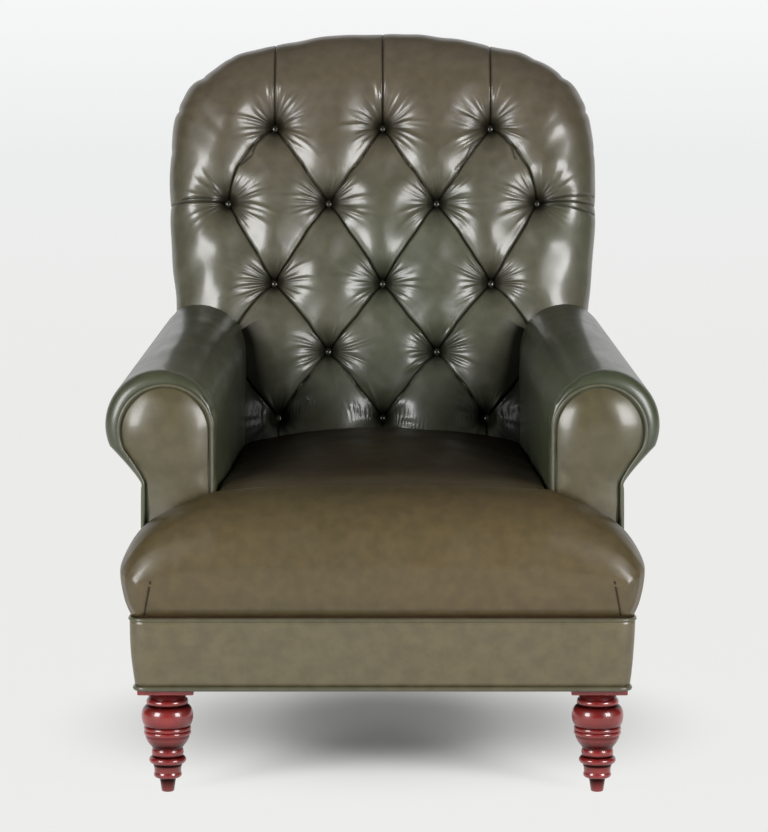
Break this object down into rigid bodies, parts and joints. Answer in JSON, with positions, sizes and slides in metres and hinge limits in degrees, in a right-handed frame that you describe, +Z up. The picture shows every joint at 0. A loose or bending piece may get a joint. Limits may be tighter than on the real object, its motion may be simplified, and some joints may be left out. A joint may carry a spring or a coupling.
{
  "type": "tufted leather armchair",
  "caption": "Antique style button-back leather armchair: arched tufted back, rolled arms, domed sprung seat, welted border, turned front legs and raked rear legs.",
  "frame": {"origin": "on the floor, in the middle of the chair's bounding box in X and Y", "axes": "+Z up, the chair faces -Y, +X is the sitter's left side seen from the front on the right"},
  "size_m": [0.7402, 0.84, 1.0157],
  "materials": {
    "seat_leather": "glossy olive-brown hide, lightly creased",
    "back_leather": "glossy dark olive hide, tufted",
    "arm_leather": "glossy olive hide",
    "facing_leather": "glossy olive-brown hide",
    "border_leather": "glossy olive hide",
    "outside_leather": "glossy olive hide, flat",
    "welt_leather": "hide rolled over a cord",
    "button_leather": "hide drawn over a button shell",
    "mahogany": "turned, red-brown, french polished",
    "post_wood": "red-brown stained, polished on the leg",
    "beech": "plain sawn frame timber",
    "stuffing": "horsehair and wadding",
    "hessian": "coarse jute cloth",
    "webbing": "woven jute tape",
    "twine": "waxed linen twine",
    "dust_cover": "black cotton cloth",
    "spring_steel": "coppered spring wire",
    "steel": "zinc plated",
    "tack_steel": "blued"
  },
  "bodies": {
    "root": {"back_buttons": "button_leather", "back_edge_welt": "welt_leather", "back_hessian": "hessian", "back_rail": "beech", "back_stuffing": "stuffing", "back_webbing_crosswise": "webbing", "back_webbing_upright": "webbing", "border_band": "border_leather", "border_bottom_welt": "welt_leather", "border_top_welt": "welt_leather", "button_twines": "twine", "button_wads": "stuffing", "corner_block_screws": "steel", "crest_rail": "beech", "dust_cover": "dust_cover", "dust_cover_tacks": "tack_steel", "frame_dowels": "beech", "front_rail": "beech", "inside_back_cover": "back_leather", "left_arm_facing": "facing_leather", "left_arm_facing_pad": "stuffing", "left_arm_facing_welt": "welt_leather", "left_arm_hessian": "hessian", "left_arm_rail": "beech", "left_arm_scroll_board": "beech", "left_arm_stuffing": "stuffing", "left_arm_stump": "beech", "left_arm_tack_rail": "beech", "left_back_post": "post_wood", "left_front_corner_block": "beech", "left_front_leg": "mahogany", "left_inside_arm_cover": "arm_leather", "left_outside_arm_panel": "outside_leather", "left_rear_corner_block": "beech", "left_side_rail": "beech", "lower_back_rail": "beech", "outside_back_panel": "outside_leather", "right_arm_facing": "facing_leather", "right_arm_facing_pad": "stuffing", "right_arm_facing_welt": "welt_leather", "right_arm_hessian": "hessian", "right_arm_rail": "beech", "right_arm_scroll_board": "beech", "right_arm_stuffing": "stuffing", "right_arm_stump": "beech", "right_arm_tack_rail": "beech", "right_back_post": "post_wood", "right_front_corner_block": "beech", "right_front_leg": "mahogany", "right_inside_arm_cover": "arm_leather", "right_outside_arm_panel": "outside_leather", "right_rear_corner_block": "beech", "right_side_rail": "beech", "seat_cover": "seat_leather", "seat_hessian": "hessian", "seat_springs": "spring_steel", "seat_stuffing": "stuffing", "seat_webbing_crosswise": "webbing", "seat_webbing_lengthwise": "webbing"}
  },
  "joints": []
}
